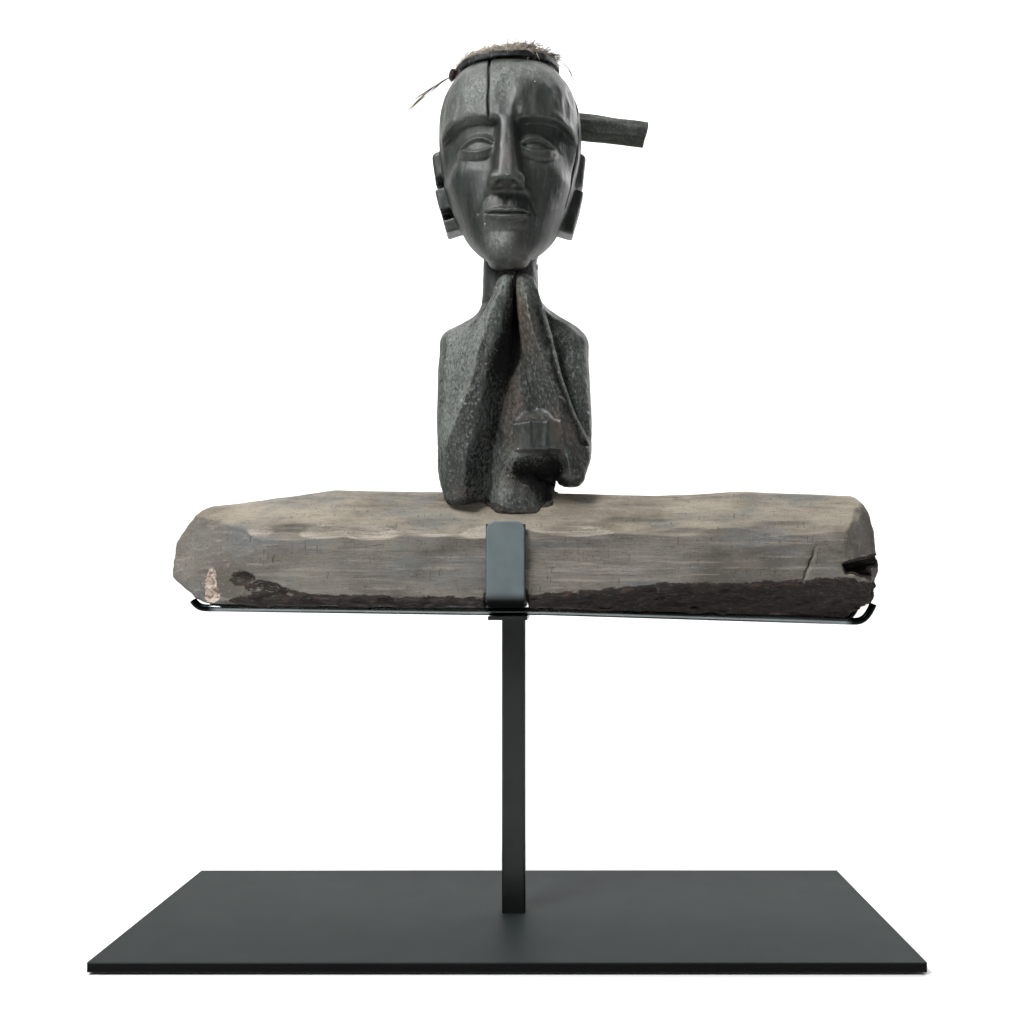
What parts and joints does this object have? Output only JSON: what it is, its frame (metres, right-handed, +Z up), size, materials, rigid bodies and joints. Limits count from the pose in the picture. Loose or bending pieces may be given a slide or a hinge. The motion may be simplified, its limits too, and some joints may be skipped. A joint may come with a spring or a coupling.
{
  "type": "carved ancestor figure",
  "caption": "Carved wooden ancestor figure with joined hands, pegged head and fibre wig, on a hewn beam held by a steel post, strap and base plate.",
  "frame": {"origin": "on the resting surface, under the centre of the base plate", "axes": "+Z up, the figure faces -Y, +X towards the side where the head peg sticks out (the figure's left)"},
  "size_m": [0.5, 0.21, 0.616],
  "materials": {
    "base_plate": "dark grey-green satin lacquer on steel, with blackened edges",
    "black_steel": "blackened steel, waxed",
    "strap": "blue-grey satin lacquer on flat bar",
    "screw": "plain machined steel",
    "felt": "black pressed felt",
    "beam_wood": "weathered bare wood, grey-brown, hewn, with open grain",
    "figure_wood": "dark smoked and handled wood, grey-green sheen, knife-cut facets, worn brown on the hands",
    "peg_wood": "dark wood, long hewn facets",
    "gum": "dark resinous gum",
    "fibre": "matted pale bast fibre",
    "hair": "stiff dark brown fibre",
    "cord": "dark red-brown twisted thread"
  },
  "bodies": {
    "root": {"base_plate": "base_plate", "base_pad_front_left": "felt", "base_pad_front_right": "felt", "base_pad_rear_left": "felt", "base_pad_rear_right": "felt", "base_screw": "screw", "post": "black_steel", "saddle_plate": "black_steel", "front_rail": "black_steel", "rear_rail": "black_steel", "clip_strap": "strap", "strap_felt": "felt", "beam": "beam_wood", "figure": "figure_wood", "gum_collar": "gum", "head_peg": "peg_wood", "wig_rim": "gum", "wig_fibre": "fibre", "wig_knot": "cord", "hair_tuft": "hair", "side_lock": "hair", "thread_end": "cord"}
  },
  "joints": []
}
